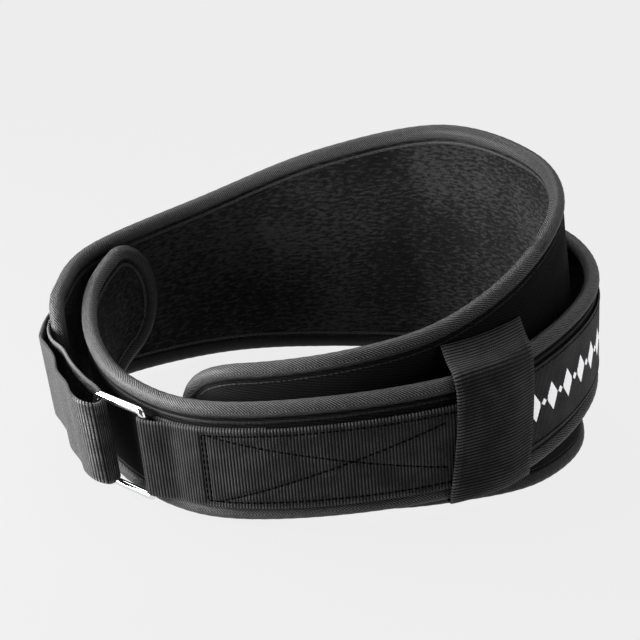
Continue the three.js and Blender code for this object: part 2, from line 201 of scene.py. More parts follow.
def unit(v):
    return v / np.maximum(np.linalg.norm(v, axis=-1, keepdims=True), 1e-12)


def cubic(b, c, m0, m1, w):
    return b + m0 * w + (3 * (c - b) - 2 * m0 - m1) * w**2 + (2 * (b - c) + m0 + m1) * w**3


def spans(rows, t):
    """The four rows round each t from 0 to 1, and the share of the way between the middle two."""
    rows = np.asarray(rows, float)
    padded = np.vstack([2 * rows[0] - rows[1], rows, 2 * rows[-1] - rows[-2]])
    p = np.clip(t, 0, 1) * (len(rows) - 1)
    i = np.minimum(p.astype(int), len(rows) - 2)
    return [padded[i + k] for k in range(4)], (p - i)[..., None]


def smooth(rows, t):
    """Uniform Catmull-Rom curve through the rows."""
    (a, b, c, d), w = spans(rows, t)
    return cubic(b, c, (c - a) / 2, (d - b) / 2, w)


def centripetal(rows, t):
    """Centripetal Catmull-Rom curve through the rows."""
    (a, b, c, d), w = spans(rows, t)
    k0, k1, k2 = (np.maximum(np.linalg.norm(q - p, axis=-1, keepdims=True), 1e-9) ** 0.5
                  for p, q in ((a, b), (b, c), (c, d)))
    m0 = k1 * ((b - a) / k0 - (c - a) / (k0 + k1) + (c - b) / k1)
    m1 = k1 * ((c - b) / k1 - (d - b) / (k1 + k2) + (d - c) / k2)
    return cubic(b, c, m0, m1, w)


def along(points):
    """Length from the first point to each."""
    return np.concatenate([[0], np.cumsum(np.linalg.norm(np.diff(points, axis=0), axis=1))])


def evenly(points, count):
    """The points resampled at equal steps of length."""
    s = along(points)
    at = np.linspace(0, s[-1], count)
    return np.stack([np.interp(at, s, points[:, k]) for k in range(points.shape[1])], 1)


def lean_shift(z, share=1.0):
    return -np.tan(np.radians(LEAN * share)) * (z - REF_HEIGHT)


class Strip:
    """A wall that follows a table. at(s, z, w) is the point at length s, height z and offset w outwards."""

    def __init__(self, rows, width, rounds):
        table = np.array(rows, float)
        self.rounds = rounds
        self.angles = table[:, 0]
        self.t = np.linspace(0, 1, 4001)
        self.plan = smooth(polar(table[:, 0], table[:, 1]), self.t)
        self.s = along(self.plan)
        self.length = self.s[-1]
        tangent = unit(np.gradient(self.plan, axis=0))
        self.normal = np.stack([tangent[:, 1], -tangent[:, 0]], 1)
        edges = smooth(table[:, 2:4] * width, self.t)
        self.low, self.high = edges[:, 0], edges[:, 1]
        self.lean = smooth(table[:, 4:5], self.t)[:, 0]

    def read(self, column, s):
        return np.interp(np.clip(s, 0, self.length), self.s, column)

    def place(self, angle):
        row = np.interp(angle, self.angles, np.linspace(0, 1, len(self.angles)))
        return float(np.interp(row, self.t, self.s))

    def bottom(self, s):
        return self.read(self.low, s)

    def top(self, s):
        return self.read(self.high, s)

    def middle(self, s):
        return (self.bottom(s) + self.top(s)) / 2

    def out(self, s):
        return np.stack([self.read(self.normal[:, 0], s), self.read(self.normal[:, 1], s)], -1)

    def flat(self, s, w):
        c = np.stack([self.read(self.plan[:, 0], s), self.read(self.plan[:, 1], s)], -1)
        return c + unit(self.out(s)) * np.asarray(w)[..., None]

    def at(self, s, z, w):
        s, z, w = np.broadcast_arrays(s, z, w)
        xy = self.flat(s, w) + AWAY * lean_shift(z, self.read(self.lean, s))[..., None]
        return np.concatenate([xy, z[..., None]], -1)

    def edge(self, s, share, side, inset):
        """Height of the outline set in by inset, where share is its part of the full height."""
        low, high = self.bottom(s) + inset, self.top(s) - inset
        return (low + high) / 2 + side * share * (high - low) / 2

    def half_outline(self, inset, first=0.0, ends=24, middle=240):
        """Places along the pad and the share of its height there, with rounded ends."""
        a = np.radians(np.linspace(first, 90, ends + 1))
        start, end = (r - inset for r in self.rounds)
        s0 = inset + start * (1 - np.cos(a))
        s1 = self.length - inset - end * (1 - np.cos(a))
        inner = np.linspace(s0[-1], s1[-1], middle + 1)[1:-1]
        share = np.concatenate([np.sin(a), np.ones(len(inner)), np.sin(a)[::-1]])
        return np.concatenate([s0, inner, s1[::-1]]), share

    def outline(self, inset, count):
        """Place and height of points at equal steps round the outline set in by inset, and its length."""
        s, share = self.half_outline(inset)
        upper = np.stack([s, self.edge(s, share, 1, inset)], 1)
        lower = np.stack([s, self.edge(s, share, -1, inset)], 1)[::-1]
        loop = np.vstack([upper, lower[1:]])
        true = along(self.at(loop[:, 0], loop[:, 1], 0))
        at = np.linspace(0, true[-1], count, endpoint=False)
        return np.interp(at, true, loop[:, 0]), np.interp(at, true, loop[:, 1]), true[-1]


back = Strip(BACK, BACK_WIDTH, BACK_ROUNDS)
front = Strip(FRONT, FRONT_WIDTH, FRONT_ROUNDS)


# Mesh making

def grid_faces(ids):
    """Quads of a grid of vertex numbers."""
    return np.stack([ids[:-1, :-1], ids[1:, :-1], ids[1:, 1:], ids[:-1, 1:]], -1).reshape(-1, 4)


def mesh_object(name, points, faces, uv, materials, slots=None):
    """A smooth mesh object in the row frame. uv is one pair a vertex or one a face corner, in metres."""
    points = np.asarray(points, float).reshape(-1, 3) + [*ORIGIN, 0]
    faces = np.asarray(faces)
    mesh = bpy.data.meshes.new(name)
    mesh.vertices.add(len(points))
    mesh.vertices.foreach_set("co", points.astype(np.float32).ravel())
    mesh.loops.add(faces.size)
    mesh.loops.foreach_set("vertex_index", faces.astype(np.int32).ravel())
    mesh.polygons.add(len(faces))
    mesh.polygons.foreach_set("loop_start", np.arange(0, faces.size, faces.shape[1], dtype=np.int32))
    mesh.update(calc_edges=True)
    mesh.validate()
    layer = mesh.uv_layers.new(name="weave")
    uv = np.asarray(uv, float)
    corner = uv if uv.shape[0] == faces.size else uv[faces.ravel()]
    layer.data.foreach_set("uv", corner.astype(np.float32).ravel())
    for m in materials:
        mesh.materials.append(m)
    if slots is not None:
        mesh.polygons.foreach_set("material_index", np.asarray(slots, np.int32))
    mesh.shade_smooth()
    obj = bpy.data.objects.new(name, mesh)
    bpy.context.scene.collection.objects.link(obj)
    return obj


def finish_piece(obj, slot, *nodes):
    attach(obj, "root")
    if nodes:
        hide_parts(*nodes)
    return obj


def tube(name, centre, across, radius, length, material, sides, thin=1.0):
    """A round body along a closed line. across is a direction square to the line, along which thin flattens it."""
    t = unit(np.roll(centre, -1, 0) - np.roll(centre, 1, 0))
    n = unit(across - t * (across * t).sum(-1, keepdims=True))
    b = np.cross(t, n)
    a = np.linspace(0, 2 * np.pi, sides + 1)
    ring = n[:, None] * thin * np.cos(a)[None, :, None] + b[:, None] * np.sin(a)[None, :, None]
    points = centre[:, None] + ring * np.broadcast_to(radius, (len(centre), sides + 1))[..., None]
    rows = len(centre)
    ids = np.arange(rows * sides).reshape(rows, sides)
    ids = np.concatenate([ids, ids[:, :1]], 1)
    ids = np.concatenate([ids, ids[:1]], 0)
    faces = grid_faces(ids)
    s = np.linspace(0, length, ids.shape[0])
    v = a * float(np.mean(radius))
    uv = np.stack(np.meshgrid(s, v, indexing="ij"), -1)
    corners = np.stack([uv[:-1, :-1], uv[1:, :-1], uv[1:, 1:], uv[:-1, 1:]], 2).reshape(-1, 2)
    return mesh_object(name, points[:, :-1], faces, corners, [material])


def band(name, middle, thickness, pitch, relief, materials, groove=None):
    """A woven band from the grid of its middle surface, first index along it. Ribs run across it."""
    length = along(middle[:, middle.shape[1] // 2])
    width = along(middle[middle.shape[0] // 2])
    width -= width[-1] / 2
    normal = unit(np.cross(np.gradient(middle, axis=0), np.gradient(middle, axis=1)))
    s, v = np.meshgrid(length, width, indexing="ij")
    rib = np.abs(np.cos(np.pi * (s / pitch))) ** 0.8
    edge = np.clip((width[-1] - np.abs(v)) / (2 * thickness), 0, 1)
    high = thickness / 2 + relief * (rib - 0.6) * np.sqrt(edge)
    low = np.zeros_like(high) if groove is None else groove(s, v)
    upper = middle + normal * (high - low)[..., None]
    lower = middle - normal * high[..., None]
    side = unit(np.gradient(middle, axis=1))
    bead = thickness / 2 * (0.75 + 0.5 * rib[:, :1])
    left = middle[:, :1] - side[:, :1] * bead[..., None]
    right = middle[:, -1:] + side[:, -1:] * bead[..., None]
    ring = np.concatenate([left, upper, right, lower[:, ::-1]], 1)
    rows, n = ring.shape[:2]
    ids = np.arange(rows * n).reshape(rows, n)
    ids = np.concatenate([ids, ids[:, :1]], 1)
    across = np.concatenate([v[:, :1] - thickness, v, v[:, -1:] + thickness, v[:, ::-1]], 1)
    uv = np.stack([np.broadcast_to(length[:, None], across.shape), across], -1)
    wrapped = np.concatenate([uv, uv[:, :1]], 1)
    corners = np.stack([wrapped[:-1, :-1], wrapped[1:, :-1], wrapped[1:, 1:], wrapped[:-1, 1:]], 2)
    faces = grid_faces(ids)
    columns = middle.shape[1]
    slot = np.zeros((rows - 1, n), int)
    slot[:, columns + 1:] = len(materials) - 1
    caps, cap_uv = [], []
    for row, turn in ((0, 1), (rows - 1, -1)):
        for k in range(columns):
            lower_k = n - 1 - k
            quad = [row * n + (lower_k + 1) % n, row * n + k, row * n + k + 1, row * n + lower_k]
            quad = quad if k else [row * n + n - 1, row * n, row * n + 1, row * n + 2]
            caps.append(quad[::turn])
            cap_uv += [uv[row, q - row * n] for q in quad[::turn]]
    faces = np.concatenate([faces, np.array(caps)])
    corners = np.concatenate([corners.reshape(-1, 2), np.array(cap_uv)])
    slots = np.concatenate([slot.ravel(), np.zeros(len(caps), int)])
    return mesh_object(name, ring, faces, corners, materials, slots)


def stitches(name, rows, material, length=0.0026, gap=0.0009, radius=0.00035, sink=0.00015):
    """Rows of thread stitches. Each row is its points on the surface and the directions out of it."""
    shape = [(-0.5, 0.35, -1.0), (-0.36, 0.85, 0.0), (0.0, 1.0, 0.7), (0.36, 0.85, 0.0), (0.5, 0.35, -1.0)]
    angles = np.linspace(0, 2 * np.pi, 6, endpoint=False)
    points, faces, base = [], [], 0
    for line, out in rows:
        s = along(line)
        count = max(1, int(s[-1] // (length + gap)))
        step = s[-1] / count
        mids = (np.arange(count) + 0.5) * step
        pick = lambda q, at: np.stack([np.interp(at, s, q[:, k]) for k in range(3)], 1)
        half = (step - gap) / 2
        ends = pick(line, mids + half) - pick(line, mids - half)
        centre, n = pick(line, mids), unit(pick(out, mids))
        t = unit(ends)
        b = np.cross(t, n)
        size = np.linalg.norm(ends, axis=1)[:, None]
        rings = []
        for along_share, thick, up in shape:
            c = centre + t * size * along_share + n * (radius * up * 0.5 - sink)
            rings.append(c[:, None] + radius * thick * (n[:, None] * np.sin(angles)[None, :, None]
                                                        + b[:, None] * np.cos(angles)[None, :, None]))
        block = np.stack(rings, 1)
        points.append(block.reshape(-1, 3))
        ids = np.arange(count * len(shape) * 6).reshape(count, len(shape), 6) + base
        ids = np.concatenate([ids, ids[:, :, :1]], 2)
        faces.append(np.stack([ids[:, :-1, :-1], ids[:, :-1, 1:], ids[:, 1:, 1:], ids[:, 1:, :-1]], -1)
                     .reshape(-1, 4))
        base += count * len(shape) * 6
    points = np.concatenate(points)
    return mesh_object(name, points, np.concatenate(faces), points[:, :2], [material])


# Materials

class Shader:
    """A node material with one Principled shader."""

    def __init__(self, name):
        self.material = bpy.data.materials.new(name)
        self.material.use_nodes = True
        self.tree = self.material.node_tree
        self.surface = self.tree.nodes["Principled BSDF"]

    def node(self, kind, **inputs):
        made = self.tree.nodes.new(kind)
        for key, value in inputs.items():
            if key in ("data_type", "uv_map"):
                setattr(made, key, value)
                continue
            socket = made.inputs[key]
            if isinstance(value, bpy.types.NodeSocket):
                self.tree.links.new(value, socket)
            else:
                socket.default_value = value
        return made

    def maths(self, operation, *values):
        made = self.tree.nodes.new("ShaderNodeMath")
        made.operation = operation
        for socket, value in zip(made.inputs, values):
            if isinstance(value, bpy.types.NodeSocket):
                self.tree.links.new(value, socket)
            else:
                socket.default_value = value
        return made.outputs[0]

    def plane(self):
        """Distances along and across the piece, in metres."""
        uv = self.node("ShaderNodeUVMap", uv_map="weave")
        split = self.node("ShaderNodeSeparateXYZ", Vector=uv.outputs[0])
        return split.outputs[0], split.outputs[1]

    def grains(self, u, v, long, wide, w=0.0, detail=2.0, rough=0.5):
        """Noise from 0 to 1 whose grains have these sizes along u and v. w picks one of many such patterns."""
        x, y = self.maths("DIVIDE", u, long), self.maths("DIVIDE", v, wide)
        at = self.node("ShaderNodeCombineXYZ", X=x, Y=y, Z=w)
        made = self.node("ShaderNodeTexNoise", Vector=at.outputs[0], Scale=1.0, Detail=detail,
                         Roughness=rough)
        return made.outputs[0]

    def wave(self, phase):
        """From 0 to 1 and back once for each whole number of phase."""
        turn = self.maths("SINE", self.maths("MULTIPLY", phase, 2 * math.pi))
        return self.maths("MULTIPLY_ADD", turn, 0.5, 0.5)

    def ramp(self, value, low, high):
        """0 below low and 1 above high."""
        made = self.node("ShaderNodeMapRange")
        made.interpolation_type = "SMOOTHSTEP"
        self.tree.links.new(value, made.inputs[0])
        made.inputs[1].default_value, made.inputs[2].default_value = low, high
        return made.outputs[0]

    def selvedge(self, v, half):
        """1 on the outermost threads of webbing of this half width, and 0 inside them."""
        return self.ramp(self.maths("ABSOLUTE", v), half - 0.0013, half - 0.0005)

    def colours(self, share, low, high):
        mix = self.node("ShaderNodeMix", data_type="RGBA")
        self.tree.links.new(share, mix.inputs[0])
        mix.inputs[6].default_value, mix.inputs[7].default_value = (*low, 1), (*high, 1)
        self.tree.links.new(mix.outputs[2], self.surface.inputs["Base Color"])

    def bump(self, height, distance):
        made = self.node("ShaderNodeBump", Height=height, Distance=distance)
        self.tree.links.new(made.outputs[0], self.surface.inputs["Normal"])

    def set(self, **values):
        for key, value in values.items():
            self.surface.inputs[key.replace("_", " ")].default_value = value
        return self.material


def grey(value):
    return (value, value, value * 1.02)


def lining():
    """Brushed tricot: short soft fibres lying mostly along the belt."""
    m = Shader("lining_tricot")
    u, v = m.plane()
    drift = m.grains(u, v, 0.06, 0.05)
    slant = m.maths("MULTIPLY_ADD", v, 0.9, u)
    fibres = m.grains(slant, v, 0.0046, 0.0017, detail=3.0, rough=0.65)
    fuzz = m.grains(u, v, 0.0008, 0.0008, 3.0)
    speck = m.ramp(m.maths("MULTIPLY_ADD", drift, 0.4, fibres), 0.62, 0.86)
    tone = m.maths("MULTIPLY_ADD", fuzz, 0.3, m.maths("MULTIPLY", speck, 0.8))
    m.colours(tone, grey(0.001), grey(0.015))
    m.bump(m.maths("MULTIPLY_ADD", fibres, 0.7, m.maths("MULTIPLY", fuzz, 0.5)), 0.0006)
    return m.set(Roughness=0.95, Sheen_Weight=0.012, Sheen_Roughness=0.6, Specular_IOR_Level=0.03)


def cover():
    """Outer cover: a plain cloth with fine ribs along the belt."""
    m = Shader("cover_cloth")
    u, v = m.plane()
    wander = m.grains(u, v, 0.03, 0.004, 1.0)
    rib = m.wave(m.maths("ADD", m.maths("DIVIDE", v, 0.0015), m.maths("MULTIPLY", wander, 0.5)))
    thread = m.wave(m.maths("DIVIDE", u, 0.0011))
    grain = m.grains(u, v, 0.0012, 0.0008)
    height = m.maths("ADD", m.maths("MULTIPLY", rib, 0.7), m.maths("MULTIPLY", thread, 0.25))
    m.colours(m.maths("MULTIPLY", height, grain), grey(0.0005), grey(0.012))
    m.bump(height, 0.0003)
    return m.set(Roughness=0.8, Sheen_Weight=0.003, Sheen_Roughness=0.5, Specular_IOR_Level=0.03)


def twill(name, low, high, turned=None, unshaded_stretch=None):
    """Twill tape rolled over the edge: fine lines, which slant the other way beyond the place turned.
    Shade is painted into the tape outside the given stretch along it, along the lower edge and round the inner
    tip."""
    m = Shader(name)
    u, v = m.plane()
    wander = m.grains(u, v, 0.012, 0.008)
    across = m.maths("DIVIDE", v, -0.0013)
    if turned is not None:
        beyond = m.ramp(u, turned, turned + 0.01)
        across = m.maths("MULTIPLY", across, m.maths("MULTIPLY_ADD", beyond, -2.0, 1.0))
    slant = m.maths("ADD", m.maths("DIVIDE", u, 0.00175), across)
    line = m.ramp(m.wave(m.maths("ADD", slant, m.maths("MULTIPLY", wander, 0.6))), 0.4, 0.85)
    thread = m.wave(m.maths("SUBTRACT", m.maths("MULTIPLY", across, 1.4), m.maths("DIVIDE", u, 0.0014)))
    grain = m.grains(u, v, 0.0008, 0.0007, 5.0, rough=0.7)
    worn = m.grains(u, v, 0.02, 0.01, 9.0)
    height = m.maths("MULTIPLY", line, m.maths("MULTIPLY_ADD", thread, 0.35, 0.65))
    shade = m.maths("MULTIPLY_ADD", m.ramp(grain, 0.25, 0.75), 0.9, m.maths("MULTIPLY", worn, 0.5))
    tone = m.maths("MULTIPLY", height, shade)
    # Painted shade: outside the stretch the tone drops to 0.35, where the tape lies in shade.
    if unshaded_stretch is not None:
        inside = m.maths("MULTIPLY", m.ramp(u, unshaded_stretch[0] - 0.02, unshaded_stretch[0]), m.ramp(u, unshaded_stretch[1] + 0.02, unshaded_stretch[1]))
        tone = m.maths("MULTIPLY", tone, m.maths("MULTIPLY_ADD", inside, 0.65, 0.35))
    m.colours(tone, grey(low), grey(high))
    m.bump(height, 0.0009)
    return m.set(Roughness=0.5, Sheen_Weight=0.003, Sheen_Roughness=0.4, Specular_IOR_Level=0.15)


def webbing(name, pitch, low, high, half, bead=0.0011, fuzzy=None, painted_highlight_to=None):
    """Ribbed webbing: beaded ribs, lighter selvedges at half its width and loop pile beyond fuzzy.
    A highlight is painted into its ribs up to the given length from the start, where light catches them as it
    bends over an edge."""
    m = Shader(name)
    u, v = m.plane()
    rib = m.ramp(m.wave(m.maths("ADD", m.maths("DIVIDE", u, pitch), 0.25)), 0.25, 0.75)
    turn = m.maths("FLOOR", m.maths("DIVIDE", u, pitch))
    beads = m.wave(m.maths("ADD", m.maths("DIVIDE", v, bead), m.maths("MULTIPLY", turn, 0.5)))
    grain = m.grains(u, v, 0.0009, 0.0007, rough=0.7)
    worn = m.grains(u, v, 0.016, 0.012, 4.0)
    height = m.maths("MULTIPLY", rib, m.maths("MULTIPLY_ADD", beads, 0.75, 0.25))
    patches = m.ramp(worn, 0.35, 0.7)
    shade = m.maths("MULTIPLY_ADD", m.ramp(grain, 0.25, 0.75), 0.8, m.maths("MULTIPLY", patches, 0.7))
    bright = m.maths("MULTIPLY_ADD", m.selvedge(v, half), 1.8, 1.0)
    tone = m.maths("MULTIPLY", m.maths("MULTIPLY", height, shade), bright)
    # Painted highlight: ribs near the start are made up to 3.5 times lighter, where light catches the keeper's
    # top.
    if painted_highlight_to is not None:
        near = m.ramp(u, painted_highlight_to * 1.3, painted_highlight_to * 0.7)
        tone = m.maths("MULTIPLY", tone, m.maths("MULTIPLY_ADD", near, 2.5, 1.0))
    if fuzzy is not None:
        loops = m.ramp(m.grains(u, v, 0.0007, 0.0009, 6.0, detail=3.0, rough=0.7), 0.3, 0.75)
        beyond = m.ramp(u, fuzzy - 0.006, fuzzy + 0.006)
        blend = lambda a, b: m.maths("MULTIPLY_ADD", beyond, m.maths("SUBTRACT", b, a), a)
        tone, height = blend(tone, m.maths("MULTIPLY", loops, 0.36)), blend(height, loops)
    m.colours(tone, grey(low), grey(high))
    m.bump(m.maths("ADD", height, m.maths("MULTIPLY", grain, 0.4)), 0.0005)
    return m.set(Roughness=0.45, Sheen_Weight=0.005, Sheen_Roughness=0.45, Specular_IOR_Level=0.08)


def pile(half):
    """Loop pile that hooks hold to, with a plain selvedge at half the width."""
    m = Shader("loop_pile")
    u, v = m.plane()
    loops = m.grains(u, v, 0.0009, 0.0009, detail=4.0, rough=0.75)
    clumps = m.grains(u, v, 0.004, 0.004, 2.0)
    tone = m.ramp(m.maths("MULTIPLY_ADD", clumps, 0.4, loops), 0.55, 0.95)
    m.colours(m.maths("MAXIMUM", tone, m.selvedge(v, half)), grey(0.002), grey(0.07))
    m.bump(loops, 0.001)
    return m.set(Roughness=1.0, Sheen_Weight=0.06, Sheen_Roughness=0.5, Specular_IOR_Level=0.05)


def thread(name, value, dark=0.4):
    m = Shader(name)
    u, v = m.plane()
    twist = m.grains(u, v, 0.0004, 0.0004)
    m.colours(twist, grey(value * dark), grey(value))
    m.bump(twist, 0.0001)
    return m.set(Roughness=0.7, Specular_IOR_Level=min(0.2, value))


def chrome():
    m = Shader("polished_chrome")
    u, v = m.plane()
    scratch = m.grains(u, v, 0.004, 0.0004, detail=3.0)
    m.colours(scratch, (0.72, 0.73, 0.75), (0.9, 0.9, 0.91))
    return m.set(Metallic=1.0, Roughness=0.12)


LINING = lining()
COVER = cover()
back_rim_length = back.outline(RIM / 2, 8)[2]
front_rim_length = front.outline(RIM / 2, 8)[2]
# Painted shade along the back binding's lower edge and round the front binding's inner tip.
BACK_TWILL = twill("back_binding_twill", 0.001, 0.125, back.place(75), unshaded_stretch=(-0.03, back_rim_length * 0.5))
FRONT_TWILL = twill("front_binding_twill", 0.001, 0.15, unshaded_stretch=(0.045, front_rim_length - 0.15))
# One binding tape in two copies: painted light on the inner seams, which face the light, and painted shade on the
# outer seams.
INNER_SEAM_PAINTED_LIGHT = twill("inner_seam_tape_painted_light", 0.012, 0.07)
OUTER_SEAM_PAINTED_SHADE = twill("outer_seam_tape_painted_shade", 0.001, 0.01)
BUCKLE_WEB = webbing("buckle_webbing_cloth", WEB_RIB, 0.0005, 0.045, WEBBING / 2, bead=0.0014)
PULL_WEB = webbing("pull_webbing_cloth", WEB_RIB, 0.004, 0.2, PULL_WEBBING / 2, fuzzy=PULL_FUZZY)
# The keeper elastic gets a painted highlight on its ribs near the upper seam.
KEEPER_WEB = webbing("keeper_elastic", KEEPER_RIB, 0.0006, 0.045, KEEPER_HALF, bead=0.0013, painted_highlight_to=KEEPER_PAINTED_HIGHLIGHT)
LABEL_WEB = webbing("label_cloth", LABEL_RIB, 0.001, 0.06, LABEL_HEIGHT / 2, bead=0.0009)
PILE = pile(PULL_WEBBING / 2)
DARK_THREAD = thread("dark_thread", 0.002)
SEAM_THREAD = thread("seam_thread", 0.03)
WHITE_THREAD = thread("white_thread", 0.95, dark=0.88)
CHROME = chrome()


# Pads

def pad_half(distance):
    """Half thickness of the foam at a distance in from the pad's seam."""
    return PAD_SEAM + (PAD_HALF - PAD_SEAM) * (1 - np.exp(-distance / PAD_ROUNDING))


def swell(obj, free, cap):
    """Lets the cover of the pad settle over its foam in a cloth simulation, and keeps the result."""
    pin = obj.vertex_groups.new(name="pin")
    for i in np.flatnonzero(free < 1):
        pin.add([int(i)], 1.0 - float(free[i]), "REPLACE")
    cloth = obj.modifiers.new("cloth", "CLOTH")
    cloth.settings.quality = 5
    cloth.settings.mass = 0.15
    cloth.settings.vertex_group_mass = "pin"
    cloth.settings.tension_stiffness = cloth.settings.compression_stiffness = 20
    cloth.settings.bending_stiffness = 0.4
    cloth.settings.use_pressure = True
    cloth.settings.uniform_pressure_force = 4
    cloth.settings.shrink_min = -0.012
    cloth.settings.effector_weights.gravity = 0
    cloth.collision_settings.use_collision = False
    scene = bpy.context.scene
    for step in range(1, 21):
        scene.frame_set(step)
    moved = obj.evaluated_get(bpy.context.evaluated_depsgraph_get()).to_mesh()
    after = np.zeros(len(obj.data.vertices) * 3, np.float32)
    moved.vertices.foreach_get("co", after)
    before = np.zeros_like(after)
    obj.data.vertices.foreach_get("co", before)
    step = (after - before).reshape(-1, 3)
    size = np.linalg.norm(step, axis=1, keepdims=True)
    step = step * (np.tanh(size / cap) * cap / np.maximum(size, 1e-9))
    obj.modifiers.remove(cloth)
    obj.vertex_groups.clear()
    obj.data.vertices.foreach_set("co", (before.reshape(-1, 3) + step).ravel())
    obj.data.update()
    scene.frame_set(1)
    print("swell", obj.name, "moved up to", round(float(size.max()) * 1000, 2), "mm before the cap")


def make_pad(name, strip, node, columns, rows):
    s, share = strip.half_outline(PAD_INSET, first=6, ends=9, middle=columns)
    v = np.sin(np.linspace(-np.pi / 2, np.pi / 2, rows + 1) * 0.8) / np.sin(0.4 * np.pi)
    ss, vv = np.meshgrid(s, v, indexing="ij")
    z = strip.edge(ss, share[:, None] * np.abs(vv), np.sign(vv), PAD_INSET)
    low = strip.edge(ss, share[:, None], -1, PAD_INSET)
    high = strip.edge(ss, share[:, None], 1, PAD_INSET)
    from_end = np.minimum(ss - s[0], s[-1] - ss)
    inside = np.minimum(np.minimum(z - low, high - z), from_end)
    half = pad_half(inside)
    outer, inner = strip.at(ss, z, half), strip.at(ss, z, -half)
    n = outer.shape[0] * outer.shape[1]
    a = np.arange(n).reshape(outer.shape[:2])
    b = a + n
    rim = np.concatenate([a[:, 0], a[-1, 1:], a[-2::-1, -1], a[0, -2:0:-1]])
    loop = np.append(rim, rim[0])
    wall = np.stack([loop[:-1] + n, loop[1:] + n, loop[1:], loop[:-1]], -1)
    faces = np.concatenate([grid_faces(a), grid_faces(b)[:, ::-1], wall])
    slots = np.concatenate([np.zeros(len(grid_faces(a)), int), np.ones(len(grid_faces(b)), int),
                            np.ones(len(wall), int)])
    uv = np.tile(np.stack([ss, z], -1).reshape(-1, 2), (2, 1))
    points = np.concatenate([outer.reshape(-1, 3), inner.reshape(-1, 3)])
    obj = mesh_object(name, points, faces, uv, [COVER, LINING], slots)
    free = np.tile(np.clip((inside.ravel() - 0.002) / 0.006, 0, 1), 2)
    swell(obj, free, PAD_SWELL)
    grown = obj.modifiers.new("round", "SUBSURF")
    grown.levels = grown.render_levels = 1
    return finish_piece(obj, "pad_cloth", node)


def make_rim(name, strip, node, count, twill):
    """The rolled binding, pressed flat where it stands on the floor."""
    s, z, length = strip.outline(RIM / 2, count)
    centre = strip.at(s, z, 0)
    across = np.concatenate([strip.out(s), np.zeros((count, 1))], 1)
    pucker = 1 + 0.012 * np.sin(2 * np.pi * np.arange(count) / count * round(length / 0.0075))
    rim = tube(name, centre, across, (RIM / 2 * pucker)[:, None], length, twill, sides=22)
    press_flat(rim)
    return finish_piece(rim, "binding_tape", node)


def press_flat(obj):
    co = np.zeros(len(obj.data.vertices) * 3, np.float32)
    obj.data.vertices.foreach_get("co", co)
    co = co.reshape(-1, 3)
    co[:, 2] = np.maximum(co[:, 2], 0)
    obj.data.vertices.foreach_set("co", co.ravel())
    obj.data.update()


def make_seams(name, strip, outer_half):
    """The stitched edge of the binding tape on both faces of a pad."""
    count = 700
    rows = []
    # The inner seams take the copy with painted light, the outer ones the copy with painted shade.
    faces = ((1, "outer", OUTER_SEAM_PAINTED_SHADE, outer_half), (-1, "inner", INNER_SEAM_PAINTED_LIGHT, SEAM_HALF))
    for side, label, tape, half in faces:
        s, z, length = strip.outline(SEAM_INSET, count)
        across = np.concatenate([strip.out(s), np.zeros((count, 1))], 1) * side
        w = side * (pad_half(SEAM_INSET - PAD_INSET) + 0.0001)
        centre = strip.at(s, z, w)
        ridge = tube(f"{name}_{label}_seam", centre, across, half, length, tape, sides=10, thin=0.5)
        finish_piece(ridge, "binding_tape")
        line = strip.at(s, z, w + side * 0.0004)
        rows.append((np.vstack([line, line[:1]]), np.vstack([across, across[:1]])))
    made = stitches(f"{name}_seam_stitches", rows, SEAM_THREAD, length=0.0022, radius=0.0003)
    finish_piece(made, "binding_tape")


# Webbing on edge

def plan_line(strip, s, w, z=None):
    s, w = np.broadcast_arrays(s, w)
    z = strip.middle(s) - WEB_DROP if z is None else z
    return np.concatenate([strip.flat(s, w), np.broadcast_to(z, s.shape)[..., None]], -1)


def along_front(xy):
    """Plan direction along the front belt at the place that lies nearest to each point."""
    nearest = np.linalg.norm(front.plan[None, ::10] - xy[:, None], axis=2).argmin(1) * 10
    return np.stack([-front.normal[nearest, 1], front.normal[nearest, 0]], 1)


def slant_on_front(xy):
    """Slant of the buckle webbing: along the front belt."""
    return SKEW * along_front(xy)


def on_edge(points, width, rib, across, slant=np.zeros_like):
    """Grid of the middle surface of webbing that stands on edge along a plan line.
    slant gives its shift as it rises."""
    line = centripetal(points, np.linspace(0, 1, 6001))
    length = along(line[:, :2])[-1]
    line = evenly(line, int(length / rib * RIB_SAMPLES))
    up = np.linspace(-0.5, 0.5, across + 1) * width
    z = line[:, 2:3] + up
    skew = slant(line[:, :2])[:, None] * up[None, :, None]
    xy = line[:, None, :2] + AWAY * lean_shift(z)[..., None] + skew
    return np.concatenate([xy, z[..., None]], -1)


OUTER_LAYER = PAD / 2 + GAP + WEB_T / 2 + WEB_T + GAP
INNER_LAYER = PAD / 2 + GAP + WEB_T / 2
TURN = WIRE / 2 + WIRE_CLEAR + WEB_T / 2

ring_right = front.flat(np.array(front.place(RING_RIGHT)), np.array(RING_OUT))
ring_dir = unit(ring_right - polar(*RING_TOWARDS))
ring_left = ring_right - ring_dir * (RING_LENGTH - WIRE)
ring_out = np.array([ring_dir[1], -ring_dir[0]])


def round_bar(bar, degrees, slack=1.0, slip=0.0):
    a = math.radians(degrees)
    xy = bar + slip * ring_dir + TURN * slack * (math.cos(a) * ring_dir + math.sin(a) * ring_out)
    return [*xy, RING_Z]


